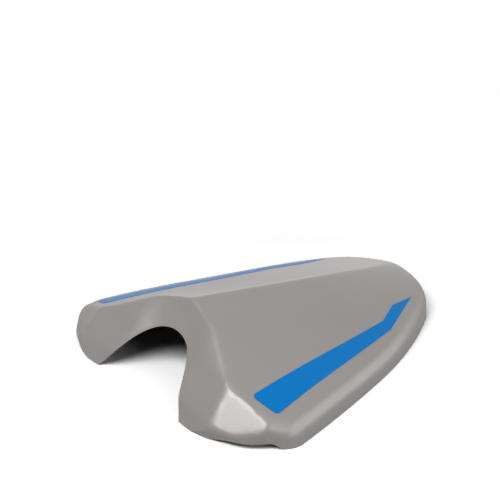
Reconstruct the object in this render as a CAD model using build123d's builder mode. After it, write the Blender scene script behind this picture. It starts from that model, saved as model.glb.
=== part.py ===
from build123d import *

import os
from math import atan, cos, radians, sin, sqrt, tan

# Motorcycle seat cowl: one moulded shell, open underneath, with a vinyl stripe on each side.
# Millimetres. +Z is up, the open arch faces -Y, the tail faces +Y and x = 0 is the mirror plane.
# The rim stands on z = 0, and the finished outline is centred on the origin.

# Plan of the rim, from the tail round one side to the front lip
tail_y = 171.7
tail_radius = 84.0
tail_turn = 58.9
haunch_radius = 472.0
haunch_turn = 15.8
side_radius = 1570.0
side_turn = 4.5
corner_radius = 20.0
corner_turn = 46.0
lip_radius = 100.0
lip_turn = 42.0
# Straight run that carries the lip on, in front of the front wall
nose_run = 45.0
plan_centre_y = 2.2

# The rim lifts off the floor in a long bow towards the tail
tail_lift_start = 90.0
tail_lift_radius = 550.0
tail_lift_turn = 9.0

# Side wall, shoulder and shell
wall = 3.0
draft = 4.5
shoulder_radius = 15.0
edge_radius = 3.0

# Roof: a straight ridge, a soft crease and the flatter panel outside it
ridge_front_y = -104.0
ridge_front_z = 73.4
ridge_fall = 0.160
ridge_softness = 3.0
crease_front_x = 90.7
crease_front_y = -140.0
crease_taper = 0.148
crease_softness = 14.0
inner_pitch_front = 0.43
outer_pitch_front = 0.375
pitch_meet = 0.27
pitch_meet_y = 60.0
pitch_tail = 0.12
roof_reach = 190.0
roof_points = 14
roof_point_spread = 1.6
roof_stations = (-200.0, -130.0, -40.0, 60.0, 120.0, 180.0)

# Front wall: a slanted face, a little hollow across, steeper under the top edge
foot_y = -162.5
foot_pitch = 48.0
brow_z = 42.0
front_bow_radius = 800.0
front_cut_depth = 400.0

# Corner facet, through three points of its own plane
facet_top = (93.0, -137.7, 38.5)
facet_side = (132.2, -143.1, 13.9)
facet_foot = (104.2, -160.0, 11.5)

# Arch in the front wall
arch_height = 45.0
arch_radius = 54.0
arch_leg_angle = 53.0
arch_tip_radius = 3.0
brow_back_y = -95.0

# Relief under the front corner lip, rising slowly from the leg and ending steeply at the side
relief_start = (96.3, -163.0)
relief_end = (147.8, -127.0)
relief_height = 5.6
relief_peak_share = 0.86
relief_peak_radius = 9.0
relief_depth = 12.0

# Stripe outline in plan, from the tail tip round to the outer kink
stripe_film = 0.3
stripe_tip = (61.0, 120.5)
stripe_inner_tail = (64.0, 89.6)
stripe_inner_kink = (78.6, 60.5)
stripe_inner_front = (109.2, -127.2)
stripe_outer_front = (132.9, -120.3)
stripe_outer_kink = (91.0, 58.2)
stripe_corner_radius = 4.0

# Height of the blanks that the shell is cut from
tall = 120.0


def ridge_z(y):
    return ridge_front_z - ridge_fall * (y - ridge_front_y)


def pitch(front, y):
    """Downward slope across the roof at a station, easing from the front to the tail."""
    if y < pitch_meet_y:
        share = (pitch_meet_y - y) / (pitch_meet_y - crease_front_y)
        return pitch_meet + (front - pitch_meet) * share
    share = (y - pitch_meet_y) / (tail_y - pitch_meet_y)
    return pitch_meet + (pitch_tail - pitch_meet) * share


def soft_ramp(run, softness):
    """Zero before a crease and the run itself after it, with the corner rounded off."""
    return (run + sqrt(run * run + softness * softness)) / 2


def roof_z(x, y, inset):
    """Height of the roof: two slopes each side of the ridge, meeting at the soft crease."""
    inner = pitch(inner_pitch_front, y)
    outer = pitch(outer_pitch_front, y)
    crease_x = crease_front_x - crease_taper * (y - crease_front_y)
    across = sqrt(x * x + ridge_softness * ridge_softness)
    peak = ridge_z(y) - inset / cos(atan(inner))
    lift = (inner - outer) * soft_ramp(across - crease_x, crease_softness)
    return peak - inner * across + lift


def roof_section(y, inset):
    """The roof's section at one station, closed below the rim."""
    half = [roof_reach * (i / roof_points) ** roof_point_spread for i in range(roof_points + 1)]
    row = [-x for x in reversed(half[1:])] + half
    with BuildSketch(Plane.XZ.offset(-y)) as section:
        with BuildLine():
            top = Spline(*[(x, roof_z(x, y, inset)) for x in row])
            Polyline(top @ 1, (roof_reach, -tall), (-roof_reach, -tall), top @ 0)
        make_face()
    return section.sketch


def rim_outline(inset):
    """The rim in plan: tail, haunch, side, front corner and lip, on both sides."""
    with BuildSketch() as rim:
        with BuildLine():
            tail = JernArc((0, tail_y - inset), (1, 0), tail_radius - inset, -tail_turn)
            haunch = JernArc(tail @ 1, tail % 1, haunch_radius - inset, -haunch_turn)
            side = JernArc(haunch @ 1, haunch % 1, side_radius - inset, -side_turn)
            corner = JernArc(side @ 1, side % 1, corner_radius - inset, -corner_turn)
            lip = JernArc(corner @ 1, corner % 1, lip_radius - inset, -lip_turn)
            run = Line(lip @ 1, lip @ 1 + (lip % 1) * nose_run)
            Line(run @ 1, (0, (run @ 1).Y))
            mirror(about=Plane.YZ)
        make_face()
    return rim.sketch


def front_cutter(inset):
    """The space in front of the front wall: a turned body, so the wall is hollow across."""
    back = inset / sin(radians(foot_pitch))
    brow_y = foot_y + brow_z / tan(radians(foot_pitch))
    axis_y = foot_y - front_bow_radius
    front_end_y = foot_y - front_cut_depth
    with BuildPart() as cutter:
        with BuildSketch(Plane.YZ):
            with BuildLine():
                foot = (foot_y + back - tall / tan(radians(foot_pitch)), -tall)
                brow = (brow_y + back, brow_z)
                slope = Line(foot, brow)
                top = TangentArc(brow, (ridge_front_y + back, ridge_front_z), tangent=slope % 1)
                rise = Line(top @ 1, top @ 1 + (top % 1) * (tall - ridge_front_z))
                Polyline(rise @ 1, (front_end_y, (rise @ 1).Z), (front_end_y, -tall), foot)
            make_face()
        revolve(axis=Axis((0, axis_y, 0), (0, 0, 1)), revolution_arc=360)
    return cutter.part


def facet_plane(side, inset):
    """The plane of the flat facet across one front corner, facing out. Side is 1 or -1."""
    top, edge, foot = (Vector(side * x, y, z) for x, y, z in (facet_top, facet_side, facet_foot))
    normal = (foot - top).cross(edge - top).normalized() * side
    return Plane(origin=top - normal * inset, z_dir=normal)


def envelope(inset):
    """The cowl's solid envelope, moved inwards by the inset."""
    with BuildPart() as roof:
        for y in roof_stations:
            add(roof_section(y, inset))
        loft()
    with BuildPart() as body:
        with BuildSketch(Plane.XY):
            add(rim_outline(inset))
        with BuildSketch(Plane.XY.offset(tall)):
            add(rim_outline(inset + tall * tan(radians(draft))))
        loft(ruled=True)
        add(roof.part, mode=Mode.INTERSECT)
        roof_face = body.faces().sort_by(Axis.Z)[-1:]
        wall_faces = body.faces().filter_by(lambda f: 0.02 < f.normal_at().Z < 0.2)
        wall_faces = wall_faces.filter_by(lambda f: f.center().Y > foot_y)
        fillet(roof_face.edges() & wall_faces.edges(), radius=shoulder_radius - inset)
        add(front_cutter(inset), mode=Mode.SUBTRACT)
        for side in (1, -1):
            split(bisect_by=facet_plane(side, inset), keep=Keep.BOTTOM)
    return body.part


def soften(body):
    """Round the front wall's top edge and the edges of the corner facets."""
    with BuildPart() as soft:
        add(body)
        facets = soft.faces().filter_by(GeomType.PLANE).filter_by(lambda f: f.normal_at().Z > 0.3)
        roof_face = soft.faces().sort_by(SortBy.AREA).filter_by(lambda f: f.normal_at().Z > 0.9)
        front_faces = soft.faces().filter_by(lambda f: f.normal_at().Y < -0.7)
        brow = roof_face[-1:].edges() & front_faces.edges()
        fillet(facets.edges() + brow, radius=edge_radius)
    return soft.part


def arch_cutter():
    """The arch through the front wall: a round top, straight splayed legs and eased tips."""
    lean = radians(arch_leg_angle)
    shoulder_x = arch_radius * sin(lean)
    shoulder_z = arch_height - arch_radius * (1 - cos(lean))
    leg_x = shoulder_x + shoulder_z / tan(lean)
    skirt_x = leg_x + 2 * arch_tip_radius
    with BuildPart() as cutter:
        with BuildSketch(Plane.XZ.offset(-brow_back_y)):
            with BuildLine():
                ThreePointArc((-shoulder_x, shoulder_z), (0, arch_height), (shoulder_x, shoulder_z))
                for side in (1, -1):
                    Polyline(
                        (side * shoulder_x, shoulder_z),
                        (side * leg_x, 0),
                        (side * skirt_x, 0),
                        (side * skirt_x, -arch_tip_radius),
                        (0, -arch_tip_radius),
                    )
            outline = make_face()
            tips = outline.vertices().filter_by(lambda v: abs(abs(v.X) - leg_x) < 0.01)
            fillet(tips, radius=arch_tip_radius)
        extrude(amount=brow_back_y - foot_y + arch_radius)
    return cutter.part


def relief_cutter(side):
    """The clearance under one front corner, as a standing profile pushed through the lip."""
    start = Vector(side * relief_start[0], relief_start[1], 0)
    end = Vector(side * relief_end[0], relief_end[1], 0)
    along = end - start
    across = Plane(origin=start, x_dir=along, z_dir=along.cross(Vector(0, 0, 1)))
    reach = along.length
    with BuildPart() as cutter:
        with BuildSketch(across):
            with BuildLine():
                Polyline((0, 0), (reach * relief_peak_share, relief_height), (reach, 0), (0, 0))
            outline = make_face()
            fillet(outline.vertices().sort_by(Axis.Z)[-1:], radius=relief_peak_radius)
        extrude(amount=relief_depth, both=True)
    return cutter.part


def tail_lift_cutter():
    """The space under the tail, where the rim bows up off the floor."""
    with BuildPart() as cutter:
        with BuildSketch(Plane.YZ):
            with BuildLine():
                bow = JernArc((tail_lift_start, 0), (1, 0), tail_lift_radius, tail_lift_turn)
                Polyline(bow @ 1, ((bow @ 1).X, -wall), (tail_lift_start, -wall), bow @ 0)
            make_face()
        extrude(amount=roof_reach, both=True)
    return cutter.part


def stripe_prism():
    """The stripe's outline on the +X side, standing up through the roof."""
    with BuildPart() as prism:
        with BuildSketch():
            with BuildLine():
                Polyline(
                    stripe_tip,
                    stripe_inner_tail,
                    stripe_inner_kink,
                    stripe_inner_front,
                    stripe_outer_front,
                    stripe_outer_kink,
                    stripe_tip,
                )
            outline = make_face()
            fillet(outline.vertices().sort_by(Axis.Y)[:2], radius=stripe_corner_radius)
        extrude(amount=tall)
    return prism.part


os.makedirs("parts", exist_ok=True)
outside = soften(envelope(0))

# The moulded shell
with BuildPart() as cowl_shell:
    add(outside)
    add(envelope(wall), mode=Mode.SUBTRACT)
    add(arch_cutter(), mode=Mode.SUBTRACT)
    add(tail_lift_cutter(), mode=Mode.SUBTRACT)
    for side in (1, -1):
        add(relief_cutter(side), mode=Mode.SUBTRACT)

# The stripe on the left of the machine
with BuildPart() as stripe_left:
    add(envelope(-stripe_film))
    add(stripe_prism(), mode=Mode.INTERSECT)
    add(outside, mode=Mode.SUBTRACT)

# The stripe on the right
with BuildPart() as stripe_right:
    add(stripe_left.part.mirror(Plane.YZ))

# Each piece, moved so that the plan is centred on the origin
pieces = {"cowl_shell": cowl_shell, "stripe_left": stripe_left, "stripe_right": stripe_right}
for name, piece in pieces.items():
    solid = piece.part.moved(Location((0, -plan_centre_y, 0)))
    solid.label = name
    export_step(solid, f"parts/{name}.step")
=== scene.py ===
"""Seat cowl: paint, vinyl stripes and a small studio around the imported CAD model."""

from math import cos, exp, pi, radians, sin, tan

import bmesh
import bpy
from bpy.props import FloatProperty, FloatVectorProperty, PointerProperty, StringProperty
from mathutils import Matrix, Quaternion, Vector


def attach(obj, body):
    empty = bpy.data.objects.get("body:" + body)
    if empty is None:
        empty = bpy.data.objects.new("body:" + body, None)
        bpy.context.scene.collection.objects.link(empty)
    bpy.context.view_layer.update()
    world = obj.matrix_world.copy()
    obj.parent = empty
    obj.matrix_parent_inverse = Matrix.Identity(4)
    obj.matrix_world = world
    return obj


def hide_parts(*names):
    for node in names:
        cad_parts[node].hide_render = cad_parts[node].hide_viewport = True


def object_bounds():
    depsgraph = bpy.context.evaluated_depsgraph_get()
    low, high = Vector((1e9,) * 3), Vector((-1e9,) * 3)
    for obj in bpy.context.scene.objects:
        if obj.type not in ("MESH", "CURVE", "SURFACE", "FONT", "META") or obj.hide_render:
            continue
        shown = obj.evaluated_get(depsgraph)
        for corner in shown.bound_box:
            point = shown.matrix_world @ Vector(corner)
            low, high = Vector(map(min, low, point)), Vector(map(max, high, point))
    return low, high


bl_info = {
    "name": "Seat Cowl",
    "version": (1, 0, 0),
    "blender": (4, 5, 0),
    "location": "3D View > Sidebar > Seat Cowl",
    "description": "Finishes a moulded seat cowl and lights it on a pale studio floor",
    "category": "Object",
}

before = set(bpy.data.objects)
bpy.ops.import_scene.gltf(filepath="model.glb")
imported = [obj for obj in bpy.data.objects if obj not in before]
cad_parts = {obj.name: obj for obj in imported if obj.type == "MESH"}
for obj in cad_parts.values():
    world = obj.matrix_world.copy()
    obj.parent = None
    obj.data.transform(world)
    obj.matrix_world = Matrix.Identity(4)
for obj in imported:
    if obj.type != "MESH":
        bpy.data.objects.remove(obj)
CAD_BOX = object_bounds()

MM = 0.001
BODY = "root"

# Slots of the moulding's two finishes: paint, and bare plastic set near black as painted shade
# inside
PAINT, PLASTIC_AND_SHADE = 0, 1
# Points of the shell closer than this are one point
SAME_POINT = 0.01 * MM
# Faces smaller than this are slivers, which don't tell the side they are on
SLIVER = 0.1 * MM * MM
# Edges shorter than this go when the form is done
SHORTEST_EDGE = 0.08 * MM
# A face whose normal points further down than this belongs to the rim's underside
FACES_DOWN = -0.5

# The arch's cut edge, in metres: its faces run along Y and lie in this box
CUT_LEAN = 0.05
CUT_BACK_Y = -0.1
CUT_HALF_WIDTH = 0.068
CUT_FOOT_Z, CUT_TOP_Z = 0.5 * MM, 0.046
# The taper's share at the foot, and the height from which it is full
TAPER_AT_FOOT = 0.4
TAPER_FULL_Z = 10 * MM

# Points on the left half, in metres: the ridge's front end, and the bottom of the left leg
RIDGE_FRONT = (0.0, -0.106, 0.0725)
TOE, HEEL = (0.0608, -0.163, 0.0), (0.1, -0.160, 0.003)
# The mesh along the front's creases: what is merged first, and how long an edge may be then
MERGE_REACH, MERGE_BELOW = 9 * MM, 1.1 * MM
FINE_EDGE, COARSE_EDGE, EDGE_GROWTH = 1.4 * MM, 9 * MM, 0.3
FINE_BACK_Y = -0.02
ANY_LENGTH = 1.0
# The facet's plane takes points this near to its outline, this high and this far off the plane
FACET_REACH = 30 * MM
FACET_FOOT_Z = 2 * MM
FACET_DEPTH = 6 * MM
# Smoothing along a crease: how far it reaches, and its passes
BROW_SOFT = (12 * MM, 8)
FACET_FOOT_SOFT = (13 * MM, 5)
FACET_SOFT = (8 * MM, 7)
SOFT_STEP = 0.5

# The broad changes, in millimetres on the left half. The crease between the inner and the outer
# panel, and the roof's height over the inner panel:
CREASE_X, CREASE_TAPER, CREASE_Y = 90.7, 0.148, -142
ROOF_Z, ROOF_FALL, ROOF_PITCH, ROOF_Y = 73, 0.16, 0.42, -106
# Each pair is where a change starts and where it is full, or where it fades and where it ends
CROWN_ALONG, CROWN_UP = (-20, -110), (0.6, 0.92)
LEG_IN, LEG_OUT, LEG_UP, LEG_END, LEG_ALONG = (20, 50), (93, 112), (-2, 18), (38, 62), (-95, -125)
ARCH_OUT, ARCH_END, ARCH_UP, ARCH_ALONG = (30, 60), (46, 66), (5, 40), (-90, -110)
# The push's share at the leg's foot
LEG_AT_FOOT = 0.08
# The local changes, in millimetres on the left half: the property that sets how much, the
# middle, the way it moves, and how far it spreads sideways and upwards
FILLS = (
    ("lip_fill", (121, -152.5, 5), (0.645, -0.764, 0), 14, 8),
    ("corner_fill", (138, -138, 19), (0.5, -0.45, 0.74), 6, 6),
    ("rim_lift", (114, -158, 0), (0, 0, 1), 11, 6),
    ("foot_lift", (66, -164, 0), (0, 0, 1), 10, 6),
)
# The leg's inner edge leans by this from the floor, and its foot is rounded in this space
LEG_LEAN = radians(53)
TIP_BACK_Y = -100 * MM
TIP_TOP_Z = 14 * MM

# Faint clouds in the paint: waves per metre, and how much darker and lighter they are
CLOUD_SCALE, CLOUD_TINT = 12.0, 0.03
# How deep the fine unevenness of each finish is
PEEL_DEPTH, GRAIN_DEPTH, RIPPLE_DEPTH = 0.05 * MM, 0.1 * MM, 0.05 * MM

LAMP_REACH = 1.3
LAMP_AIM = (0, 0, 0.03)
# Less light falls on the floor far off, so there its tone is raised by this
FAR_GAIN = 2
# Each softbox: the way to it from the cowl, and its width and height
SOFTBOXES = {
    "top_lamp": ((0, 0.05, 1), (1.2, 1.2)),
    "facet_lamp": ((0.07, -0.61, 0.79), (0.9, 0.6)),
    "far_lamp": ((-0.97, 0.135, 0.22), (0.8, 0.6)),
    "near_lamp": ((0.8, 0.5, 0.3), (2.4, 1.6)),
    "tail_lamp": ((-0.72, 0.66, 0.15), (1.0, 0.5)),
}


def linear(code):
    """An sRGB hex value as the linear colour that a shader takes."""
    parts = [int(code[i:i + 2], 16) / 255 for i in (1, 3, 5)]
    bent = (p / 12.92 if p <= 0.04045 else ((p + 0.055) / 1.055) ** 2.4 for p in parts)
    return (*bent, 1.0)


def node(tree, kind, inputs=None, **settings):
    """Adds one node with its settings; an input is a plain value or another node's output."""
    made = tree.nodes.new(kind)
    for name, value in settings.items():
        setattr(made, name, value)
    for key, value in (inputs or {}).items():
        if isinstance(value, bpy.types.NodeSocket):
            tree.links.new(value, made.inputs[key])
        else:
            made.inputs[key].default_value = value
    return made


def blank_material(name):
    """An empty node material with its output node, and that output."""
    material = bpy.data.materials.new(name)
    material.use_nodes = True
    material.node_tree.nodes.clear()
    return material, node(material.node_tree, "ShaderNodeOutputMaterial")


class SeatCowlFinish(bpy.types.PropertyGroup):
    """Colours and sizes of the cowl's finishes."""

    paint: StringProperty(
        name="Paint", description="Satin silver-grey paint, sRGB hex", default="#9D9996")
    paint_roughness: FloatProperty(
        name="Paint roughness", description="Satin clear coat over fine flake",
        default=0.38, min=0.0, max=1.0)
    paint_metallic: FloatProperty(
        name="Flake", description="How much of the light the aluminium flake returns",
        default=0.35, min=0.0, max=1.0)
    peel_width: FloatProperty(
        name="Orange peel", description="Width of one wave in the sprayed coat, in metres",
        default=3.0 * MM, min=0.0, subtype="DISTANCE", unit="LENGTH")
    # The bare plastic's grey is near black, darker than real black plastic, as painted shade inside
    # the shell.
    plastic: StringProperty(
        name="Bare plastic", description="Black moulded plastic inside, sRGB hex",
        default="#0A0A0A")
    grain_width: FloatProperty(
        name="Mould grain", description="Width of one grain on the bare side, in metres",
        default=0.8 * MM, min=0.0, subtype="DISTANCE", unit="LENGTH")
    vinyl: StringProperty(
        name="Vinyl", description="Blue cut vinyl film, sRGB hex", default="#007FCF")
    vinyl_roughness: FloatProperty(
        name="Vinyl roughness", description="Satin cast film", default=0.35, min=0.0, max=1.0)
    ripple_width: FloatProperty(
        name="Vinyl ripple", description="Width of one wave in the laid film, in metres",
        default=4.0 * MM, min=0.0, subtype="DISTANCE", unit="LENGTH")
    heart: FloatVectorProperty(
        name="Heart", description="A point below the shell that its painted side faces away from",
        default=(0.0, 0.0, -0.06), size=3, subtype="TRANSLATION", unit="LENGTH")
    sharp_angle: FloatProperty(
        name="Sharp above", description="Edges that turn more than this stay crisp",
        default=radians(32), subtype="ANGLE", unit="ROTATION")


class SeatCowlForm(bpy.types.PropertyGroup):
    """Late changes to the form of the moulding's front end."""

    crown: FloatProperty(
        name="Crown", description="How far the inner panels swell near the front wall",
        default=3.2 * MM, subtype="DISTANCE", unit="LENGTH")
    leg_push: FloatProperty(
        name="Leg push", description="How much steeper the front wall stands over each leg",
        default=6.0 * MM, subtype="DISTANCE", unit="LENGTH")
    arch_rise: FloatProperty(
        name="Arch rise", description="How much higher the arch's crown is than in the CAD",
        default=1.8 * MM, subtype="DISTANCE", unit="LENGTH")
    tip_radius: FloatProperty(
        name="Leg tip", description="Radius of the rounded inner foot of each leg",
        default=13.0 * MM, subtype="DISTANCE", unit="LENGTH")
    lip_fill: FloatProperty(
        name="Lip fill", description="How much fuller the lip is under each corner facet",
        default=2.8 * MM, subtype="DISTANCE", unit="LENGTH")
    edge_taper: FloatProperty(
        name="Edge taper", description="How far the arch's inner edge comes forward to a thin rim",
        default=2.2 * MM, subtype="DISTANCE", unit="LENGTH")
    foot_lift: FloatProperty(
        name="Foot lift", description="How much higher the inner foot of each leg ends",
        default=0.8 * MM, subtype="DISTANCE", unit="LENGTH")
    rim_lift: FloatProperty(
        name="Rim lift", description="How much higher the raised rim is under each corner facet",
        default=2.6 * MM, subtype="DISTANCE", unit="LENGTH")
    corner_fill: FloatProperty(
        name="Corner fill", description="How much sharper the shoulder is behind each corner facet",
        default=3.0 * MM, subtype="DISTANCE", unit="LENGTH")
    facet_top: FloatVectorProperty(
        name="Facet top", description="Upper corner of the facet, on the left", size=3,
        default=(0.0962, -0.1425, 0.0359), subtype="TRANSLATION", unit="LENGTH")
    facet_foot: FloatVectorProperty(
        name="Facet foot", description="Lower inner corner of the facet, on the left", size=3,
        default=(0.1061, -0.1616, 0.0112), subtype="TRANSLATION", unit="LENGTH")
    facet_low: FloatVectorProperty(
        name="Facet low", description="Lower corner over the lip of the facet, on the left", size=3,
        default=(0.1207, -0.1551, 0.0100), subtype="TRANSLATION", unit="LENGTH")
    facet_side: FloatVectorProperty(
        name="Facet side", description="Outer corner of the facet, on the left", size=3,
        default=(0.1370, -0.1422, 0.0144), subtype="TRANSLATION", unit="LENGTH")
    facet_back: FloatVectorProperty(
        name="Facet back", description="Corner at the shoulder of the facet, on the left", size=3,
        default=(0.1365, -0.1356, 0.0215), subtype="TRANSLATION", unit="LENGTH")
    facet_blend: FloatProperty(
        name="Facet blend", description="Over what width the facet runs out around its outline",
        default=4.5 * MM, subtype="DISTANCE", unit="LENGTH")


class SeatCowlStudio(bpy.types.PropertyGroup):
    """Camera, lamps and floor."""

    camera_place: FloatVectorProperty(
        name="Camera", description="Where the camera stands", size=3, precision=5,
        default=(0.63049, -0.57270, 0.45222), subtype="TRANSLATION", unit="LENGTH")
    camera_azimuth: FloatProperty(
        name="Azimuth", description="Direction the camera looks from, 0 is from -Y and 90 from +X",
        default=radians(49.75), subtype="ANGLE", unit="ROTATION")
    camera_elevation: FloatProperty(
        name="Elevation", description="Angle of the view below the horizon",
        default=radians(23.143), subtype="ANGLE", unit="ROTATION")
    camera_roll: FloatProperty(
        name="Roll", description="Turn of the camera about its own line of sight",
        default=radians(0.157), subtype="ANGLE", unit="ROTATION")
    lens: FloatProperty(
        name="Lens", description="Focal length in millimetres", default=71.368, min=1.0)
    floor_size: FloatProperty(
        name="Floor", description="Side of the square floor", default=1.8,
        subtype="DISTANCE", unit="LENGTH")
    floor_tone: FloatProperty(
        name="Floor tone", description="Grey of the floor as the object sees it",
        default=0.8, min=0.0)
    floor_tone_seen: FloatProperty(
        name="Floor tone in view", description="Grey of the floor in view; above 1 it reads white",
        default=1.6, min=0.0)
    floor_near: FloatProperty(
        name="Floor near", description="Up to here the floor keeps its tone in view",
        default=0.25, min=0.0, subtype="DISTANCE", unit="LENGTH")
    floor_far: FloatProperty(
        name="Floor far", description="From here on the floor has twice its tone in view",
        default=0.8, min=0.0, subtype="DISTANCE", unit="LENGTH")
    sky: FloatProperty(
        name="Sky", description="Strength of the white room on the object", default=0.0, min=0.0)
    sky_mirrored: FloatProperty(
        name="Sky in reflections", description="Strength of the white room that the paint mirrors",
        default=0.8, min=0.0)
    top_lamp: FloatProperty(
        name="Top lamp", description="Power of the softbox overhead", default=2.4,
        min=0.0, unit="POWER")
    facet_lamp: FloatProperty(
        name="Facet lamp", description="Power of the softbox that the corner facet mirrors",
        default=10.0, min=0.0, unit="POWER")
    far_lamp: FloatProperty(
        name="Far lamp", description="Power of the softbox beyond the right side", default=0.6,
        min=0.0, unit="POWER")
    near_lamp: FloatProperty(
        name="Near lamp", description="Power of the softbox beyond the left side", default=14.8,
        min=0.0, unit="POWER")
    tail_lamp: FloatProperty(
        name="Tail lamp", description="Power of the softbox low beyond the tail", default=1.6,
        min=0.0, unit="POWER")


def paint_material(finish):
    """Satin two-pack paint with fine aluminium flake, sprayed on ABS.

    The flake makes facets differ in brightness, and the sprayed coat has a faint orange peel.
    """
    material, output = blank_material("satin_silver_paint")
    tree = material.node_tree
    place = node(tree, "ShaderNodeTexCoord").outputs["Object"]
    cloud = node(tree, "ShaderNodeTexNoise", {
        "Vector": place, "Scale": CLOUD_SCALE, "Detail": 3.0})
    base = Vector(linear(finish.paint)[:3])
    tint = node(tree, "ShaderNodeMix", {"Factor": cloud.outputs["Fac"]}, data_type="RGBA")
    tint.inputs["A"].default_value = (*(base * (1 - CLOUD_TINT)), 1.0)
    tint.inputs["B"].default_value = (*(base * (1 + CLOUD_TINT)), 1.0)
    peel = node(tree, "ShaderNodeTexNoise", {
        "Vector": place, "Scale": 1 / finish.peel_width, "Detail": 2.0})
    bump = node(tree, "ShaderNodeBump", {
        "Height": peel.outputs["Fac"], "Strength": 0.08, "Distance": PEEL_DEPTH})
    coat = node(tree, "ShaderNodeBsdfPrincipled", {
        "Base Color": tint.outputs["Result"],
        "Metallic": finish.paint_metallic,
        "Roughness": finish.paint_roughness,
        "IOR": 1.5,
        "Normal": bump.outputs["Normal"],
    })
    tree.links.new(coat.outputs["BSDF"], output.inputs["Surface"])
    return material


def bare_plastic_and_shade_material(finish):
    """Bare black ABS as it leaves the mould: dull, with a fine even grain; set near black, darker
    than real ABS, as painted shade for the inside.
    """
    material, output = blank_material("bare_black_abs")
    tree = material.node_tree
    place = node(tree, "ShaderNodeTexCoord").outputs["Object"]
    grain = node(tree, "ShaderNodeTexNoise", {
        "Vector": place, "Scale": 1 / finish.grain_width, "Detail": 2.0})
    bump = node(tree, "ShaderNodeBump", {
        "Height": grain.outputs["Fac"], "Strength": 0.4, "Distance": GRAIN_DEPTH})
    skin = node(tree, "ShaderNodeBsdfPrincipled", {
        "Base Color": linear(finish.plastic),
        "Roughness": 0.6,
        "IOR": 1.54,
        "Normal": bump.outputs["Normal"],
    })
    tree.links.new(skin.outputs["BSDF"], output.inputs["Surface"])
    return material


def vinyl_material(finish):
    """Cast vinyl film, cut and laid on the paint: an even blue with a soft gloss."""
    material, output = blank_material("blue_cast_vinyl")
    tree = material.node_tree
    place = node(tree, "ShaderNodeTexCoord").outputs["Object"]
    ripple = node(tree, "ShaderNodeTexNoise", {
        "Vector": place, "Scale": 1 / finish.ripple_width, "Detail": 1.0})
    bump = node(tree, "ShaderNodeBump", {
        "Height": ripple.outputs["Fac"], "Strength": 0.05, "Distance": RIPPLE_DEPTH})
    film = node(tree, "ShaderNodeBsdfPrincipled", {
        "Base Color": linear(finish.vinyl),
        "Roughness": finish.vinyl_roughness,
        "IOR": 1.5,
        "Specular IOR Level": 0.12,
        "Normal": bump.outputs["Normal"],
    })
    tree.links.new(film.outputs["BSDF"], output.inputs["Surface"])
    return material


def ease(low, high, value):
    """Smooth step from 0 to 1 between two values."""
    share = min(max((value - low) / (high - low), 0.0), 1.0)
    return share * share * (3 - 2 * share)


def mirrored(point):
    """The point on the left half that stands for this one."""
    return Vector((abs(point.x), point.y, point.z))


def off_line(point, start, end):
    """Distance of a point from a straight stretch."""
    along = end - start
    share = min(max((point - start).dot(along) / along.length_squared, 0.0), 1.0)
    return (start + along * share - point).length


def drop_folds(work):
    """Take out faces that a merge has laid on each other or left standing on the surface."""
    while True:
        same = {}
        for face in work.faces:
            same.setdefault(frozenset(face.verts), []).append(face)
        folded = {face for pair in same.values() if len(pair) > 1 for face in pair}
        folded |= {edge.link_faces[0] for edge in work.edges if len(edge.link_faces) == 1
                   and any(len(side.link_faces) > 2 for side in edge.link_faces[0].edges)}
        if not folded:
            return
        bmesh.ops.delete(work, geom=[f for f in work.faces if f in folded], context="FACES")


def split_long_edges(work, longest_at, rounds=10):
    """Halve edges until none is longer than the length allowed at its middle."""
    for _ in range(rounds):
        long = [e for e in work.edges
                if e.calc_length() > longest_at((e.verts[0].co + e.verts[1].co) / 2)]
        if not long:
            return
        bmesh.ops.subdivide_edges(work, edges=long, cuts=1)
        bmesh.ops.triangulate(work, faces=[f for f in work.faces if len(f.verts) > 3])


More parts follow.
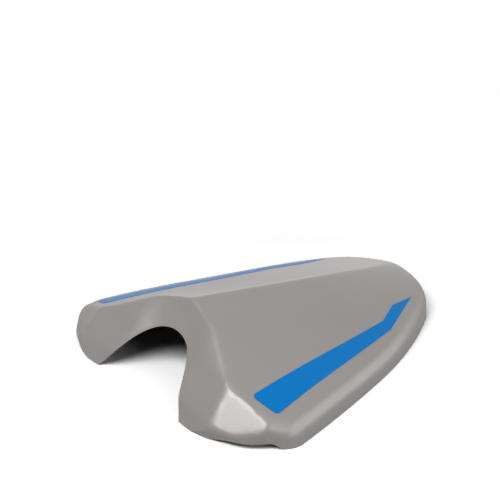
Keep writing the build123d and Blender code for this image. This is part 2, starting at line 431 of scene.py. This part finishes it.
class SEATCOWL_OT_shell(bpy.types.Operator):
    """Dress the moulded shell: merged surface, paint outside and bare plastic inside, set near
    black as painted shade
    """

    bl_idname = "seatcowl.shell"
    bl_label = "Shell"

    def execute(self, context):
        finish = context.scene.seatcowl_finish
        work = bmesh.new()
        work.from_mesh(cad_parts["cowl_shell"].data)
        bmesh.ops.remove_doubles(work, verts=work.verts, dist=SAME_POINT)
        heart = Vector(finish.heart)
        for face in work.faces:
            face.smooth = True
            outside = face.normal.dot(face.calc_center_median() - heart) > 0
            face.material_index = PAINT if outside or face.calc_area() < SLIVER else PLASTIC_AND_SHADE
        self.paint_arch_edge(work, context.scene.seatcowl_form)
        self.shape_front(work, context.scene.seatcowl_form)
        self.keep_inside(work)
        bmesh.ops.dissolve_degenerate(work, dist=SHORTEST_EDGE, edges=work.edges)
        for edge in work.edges:
            edge.smooth = len(edge.link_faces) == 2 and edge.calc_face_angle(0) < finish.sharp_angle
        drop_folds(work)
        mesh = bpy.data.meshes.new("cowl_moulding")
        work.to_mesh(mesh)
        work.free()
        mesh.materials.append(paint_material(finish))
        mesh.materials.append(bare_plastic_and_shade_material(finish))
        shell = bpy.data.objects.new("cowl_moulding", mesh)
        context.scene.collection.objects.link(shell)
        flow = shell.modifiers.new("even_normals", "WEIGHTED_NORMAL")
        flow.keep_sharp = True
        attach(shell, BODY)
        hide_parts("cowl_shell")
        return {"FINISHED"}

    def paint_arch_edge(self, work, form):
        """Paint runs over the arch's cut edge, which tapers to a thin rim on the inside."""
        work.normal_update()
        cut = []
        for face in work.faces:
            x, y, z = face.calc_center_median()
            if (abs(face.normal.y) < CUT_LEAN and y < CUT_BACK_Y and abs(x) < CUT_HALF_WIDTH
                    and CUT_FOOT_Z < z < CUT_TOP_Z):
                cut.append(face)
        for face in cut:
            face.material_index = PAINT
        inner = {v for f in cut for v in f.verts
                 if any(g.material_index == PLASTIC_AND_SHADE for g in v.link_faces)}
        for vert in inner:
            share = TAPER_AT_FOOT + (1 - TAPER_AT_FOOT) * ease(0, TAPER_FULL_Z, vert.co.z)
            vert.co.y -= form.edge_taper * share

    def shape_front(self, work, form):
        """Give the front end steeper legs, a crowned roof, clear facets and softer edges."""
        corners = [Vector(p) for p in (
            form.facet_top, form.facet_foot, form.facet_low, form.facet_side, form.facet_back)]
        brow = (Vector(RIDGE_FRONT), corners[0])
        facet = tuple(zip(corners, corners[1:] + corners[:1]))
        leg_foot = (Vector(TOE), Vector(HEEL))

        def outer_near(lines, reach):
            """The outside's own points near any of the lines, in the mesh's order."""
            outer = {v for f in work.faces if f.material_index == PAINT for v in f.verts}
            outer -= {v for f in work.faces if f.calc_area() > SLIVER
                      and (f.material_index != PAINT or f.normal.z < FACES_DOWN) for v in f.verts}
            return [v for v in work.verts if v in outer
                    and min(off_line(mirrored(v.co), *line) for line in lines) < reach]

        def longest_at(point):
            """How long an edge may be here: short along the creases, longer away from them."""
            if point.y > FINE_BACK_Y:
                return ANY_LENGTH
            near = min(off_line(mirrored(point), *line) for line in (brow, *facet, leg_foot))
            return min(FINE_EDGE + near * EDGE_GROWTH, COARSE_EDGE)

        creases = outer_near((brow, *facet), MERGE_REACH)
        bmesh.ops.remove_doubles(work, verts=creases, dist=MERGE_BELOW)
        drop_folds(work)

        split_long_edges(work, longest_at)
        for vert in work.verts:
            vert.co += self.form_shift(vert.co, form)
        self.round_tips(work, form)
        self.flatten_facets(outer_near(facet, FACET_REACH), corners, form.facet_blend)
        for lines, (reach, passes) in (
            ((brow,), BROW_SOFT), (facet[1:3], FACET_FOOT_SOFT), (facet, FACET_SOFT)
        ):
            band = outer_near(lines, reach)
            for _ in range(passes):
                bmesh.ops.smooth_vert(work, verts=band, factor=SOFT_STEP,
                                      use_axis_x=True, use_axis_y=True, use_axis_z=True)

    def keep_inside(self, work):
        """No point leaves the CAD model's box."""
        low, high = CAD_BOX
        for vert in work.verts:
            vert.co = Vector(min(max(c, a), b) for c, a, b in zip(vert.co, low, high))

    def flatten_facets(self, verts, corners, blend):
        """Bring the points over each facet into its plane, and those around it part of the way."""
        top, foot, side = corners[0], corners[1], corners[3]
        away = (foot - top).cross(side - top).normalized()
        edges = list(zip(corners, corners[1:] + corners[:1]))
        for vert in verts:
            place = mirrored(vert.co)
            height = (place - top).dot(away)
            if vert.co.z < FACET_FOOT_Z or abs(height) > FACET_DEPTH:
                continue
            outside = max((place - a).dot((b - a).cross(away).normalized()) for a, b in edges)
            shift = -away * height * (1 - ease(0, blend, outside))
            vert.co += Vector((shift.x if vert.co.x > 0 else -shift.x, shift.y, shift.z))

    def form_shift(self, point, form):
        """How far a point of the shell moves, outside and inside alike."""
        wide, y, z = abs(point.x) / MM, point.y / MM, point.z / MM
        shift = Vector((0, 0, 0))
        crease = CREASE_X - CREASE_TAPER * (y - CREASE_Y)
        roof = ROOF_Z - ROOF_FALL * (y - ROOF_Y) - ROOF_PITCH * wide
        if wide < crease and roof > 0:
            swell = sin(pi * wide / crease) ** 2
            shift.z += form.crown * (swell * ease(*CROWN_ALONG, y) * ease(*CROWN_UP, z / roof))
        over_leg = ease(*LEG_IN, wide) * (1 - ease(*LEG_OUT, wide))
        tall = LEG_AT_FOOT + (1 - LEG_AT_FOOT) * ease(*LEG_UP, z)
        tall *= 1 - ease(*LEG_END, z)
        shift.y -= form.leg_push * over_leg * tall * ease(*LEG_ALONG, y)
        arch = (1 - ease(*ARCH_OUT, wide)) * (1 - ease(*ARCH_END, z))
        shift.z += form.arch_rise * (arch * ease(*ARCH_UP, z) * ease(*ARCH_ALONG, y))
        side = 1 if point.x > 0 else -1
        for amount, middle, way, spread, rise in FILLS:
            apart = Vector((wide, y, z)) - Vector(middle)
            fill = exp(-(apart.xy.length / spread) ** 2 / 2 - (apart.z / rise) ** 2 / 2)
            shift += Vector((way[0] * side, way[1], way[2])) * getattr(form, amount) * fill
        return shift

    def round_tips(self, work, form):
        """Round the inner foot of each leg in the view from the front."""
        corner = Vector((TOE[0], 0, 0))
        floorward, legward = Vector((1, 0, 0)), Vector((-cos(LEG_LEAN), 0, sin(LEG_LEAN)))
        half = (pi - LEG_LEAN) / 2
        inward = (floorward + legward).normalized()
        middle = corner + inward * (form.tip_radius / sin(half))
        reach = form.tip_radius / tan(half)
        for vert in work.verts:
            place = mirrored(vert.co)
            if place.y > TIP_BACK_Y or place.z > TIP_TOP_Z:
                continue
            flat = Vector((place.x, 0, place.z))
            offset = flat - corner
            along = max(offset.dot(floorward), offset.dot(legward))
            spoke = flat - middle
            if along < reach and spoke.dot(inward) < 0 and spoke.length > form.tip_radius:
                moved = middle + spoke.normalized() * form.tip_radius
                side = 1 if vert.co.x > 0 else -1
                vert.co.x, vert.co.z = moved.x * side, max(moved.z, vert.co.z)


class SEATCOWL_OT_stripes(bpy.types.Operator):
    """Finish the vinyl stripe on each side"""

    bl_idname = "seatcowl.stripes"
    bl_label = "Stripes"

    def execute(self, context):
        film = vinyl_material(context.scene.seatcowl_finish)
        for name in ("stripe_left", "stripe_right"):
            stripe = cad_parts[name]
            stripe.data.materials.clear()
            stripe.data.materials.append(film)
        return {"FINISHED"}


def softbox(context, name, place, aim, size, power):
    """A rectangular area lamp that faces a point."""
    lamp = bpy.data.lights.new(name, "AREA")
    lamp.shape = "RECTANGLE"
    lamp.size, lamp.size_y = size
    lamp.energy = power
    made = bpy.data.objects.new(name, lamp)
    made.location = place
    made.rotation_mode = "QUATERNION"
    made.rotation_quaternion = (Vector(aim) - Vector(place)).to_track_quat("-Z", "Y")
    context.scene.collection.objects.link(made)
    return made


class SEATCOWL_OT_stage(bpy.types.Operator):
    """Set up the pale floor, the white room, the lamps and the camera"""

    bl_idname = "seatcowl.stage"
    bl_label = "Stage"

    def execute(self, context):
        studio = context.scene.seatcowl_studio
        self.floor(context, studio)
        self.room(context, studio)
        for name, (way, size) in SOFTBOXES.items():
            place = Vector(way).normalized() * LAMP_REACH
            softbox(context, name, place, LAMP_AIM, size, getattr(studio, name))
        self.camera(context, studio)
        context.scene.view_settings.view_transform = "Standard"
        return {"FINISHED"}

    def floor(self, context, studio):
        """A white paper floor that reads brighter in view than in the paint's reflections."""
        work = bmesh.new()
        bmesh.ops.create_grid(work, x_segments=1, y_segments=1, size=studio.floor_size / 2)
        mesh = bpy.data.meshes.new("floor")
        work.to_mesh(mesh)
        work.free()
        floor = bpy.data.objects.new("floor", mesh)
        context.scene.collection.objects.link(floor)
        material, output = blank_material("white_studio_floor")
        tree = material.node_tree
        sight = node(tree, "ShaderNodeLightPath")
        place = node(tree, "ShaderNodeTexCoord").outputs["Object"]
        off = node(tree, "ShaderNodeVectorMath", {0: place}, operation="LENGTH")
        seen = node(tree, "ShaderNodeMapRange", {
            "Value": off.outputs["Value"],
            "From Min": studio.floor_near, "From Max": studio.floor_far,
            "To Min": studio.floor_tone_seen, "To Max": FAR_GAIN * studio.floor_tone_seen})
        shade = node(tree, "ShaderNodeMapRange", {
            "Value": sight.outputs["Is Camera Ray"],
            "To Min": studio.floor_tone, "To Max": seen.outputs["Result"]})
        paper = node(tree, "ShaderNodeBsdfDiffuse", {"Color": shade.outputs["Result"]})
        tree.links.new(paper.outputs["BSDF"], output.inputs["Surface"])
        mesh.materials.append(material)

    def room(self, context, studio):
        """A white room, plain white in view and weaker in the paint's reflections."""
        world = bpy.data.worlds.new("white_room")
        world.use_nodes = True
        world.node_tree.nodes.clear()
        tree = world.node_tree
        sight = node(tree, "ShaderNodeLightPath")
        mirrored_room = node(tree, "ShaderNodeMath", {
            0: sight.outputs["Is Glossy Ray"], 1: studio.sky_mirrored}, operation="MULTIPLY")
        seen = node(tree, "ShaderNodeMath", {
            0: sight.outputs["Is Camera Ray"], 1: mirrored_room.outputs[0]}, operation="MAXIMUM")
        seen = node(tree, "ShaderNodeMath", {
            0: seen.outputs[0], 1: sight.outputs["Is Transmission Ray"]}, operation="MAXIMUM")
        strength = node(tree, "ShaderNodeMapRange", {
            "Value": seen.outputs[0], "To Min": studio.sky, "To Max": 1.0})
        sky = node(tree, "ShaderNodeBackground", {
            "Color": (1.0, 1.0, 1.0, 1.0), "Strength": strength.outputs["Result"]})
        output = node(tree, "ShaderNodeOutputWorld")
        tree.links.new(sky.outputs["Background"], output.inputs["Surface"])
        context.scene.world = world

    def camera(self, context, studio):
        """The camera, turned by its azimuth, its elevation and a slight roll."""
        data = bpy.data.cameras.new("camera")
        data.lens = studio.lens
        camera = bpy.data.objects.new("camera", data)
        context.scene.collection.objects.link(camera)
        back = Quaternion((0, 0, 1), studio.camera_azimuth) @ Vector((0, -1, 0))
        side = back.cross(Vector((0, 0, 1)))
        back = Quaternion(side, studio.camera_elevation) @ back
        camera.location = studio.camera_place
        camera.rotation_mode = "QUATERNION"
        level = (-back).to_track_quat("-Z", "Y")
        camera.rotation_quaternion = level @ Quaternion((0, 0, 1), studio.camera_roll)
        context.scene.camera = camera


class SEATCOWL_PT_panel(bpy.types.Panel):
    """Lists the cowl's pieces and sizes in the sidebar"""

    bl_label = "Seat Cowl"
    bl_idname = "SEATCOWL_PT_panel"
    bl_space_type = "VIEW_3D"
    bl_region_type = "UI"
    bl_category = "Seat Cowl"

    def draw(self, context):
        for group, operator in (
            (context.scene.seatcowl_form, SEATCOWL_OT_shell),
            (context.scene.seatcowl_finish, SEATCOWL_OT_stripes),
            (context.scene.seatcowl_studio, SEATCOWL_OT_stage),
        ):
            box = self.layout.box()
            box.operator(operator.bl_idname)
            for key in group.bl_rna.properties.keys():
                if key not in ("rna_type", "name"):
                    box.prop(group, key)


CLASSES = (
    SeatCowlForm,
    SeatCowlFinish,
    SeatCowlStudio,
    SEATCOWL_OT_shell,
    SEATCOWL_OT_stripes,
    SEATCOWL_OT_stage,
    SEATCOWL_PT_panel,
)


def register():
    for cls in CLASSES:
        bpy.utils.register_class(cls)
    bpy.types.Scene.seatcowl_form = PointerProperty(type=SeatCowlForm)
    bpy.types.Scene.seatcowl_finish = PointerProperty(type=SeatCowlFinish)
    bpy.types.Scene.seatcowl_studio = PointerProperty(type=SeatCowlStudio)


def unregister():
    del bpy.types.Scene.seatcowl_studio
    del bpy.types.Scene.seatcowl_finish
    del bpy.types.Scene.seatcowl_form
    for cls in reversed(CLASSES):
        bpy.utils.unregister_class(cls)


def main():
    register()
    bpy.ops.seatcowl.shell()
    bpy.ops.seatcowl.stripes()
    bpy.ops.seatcowl.stage()


if __name__ == "__main__":
    main()
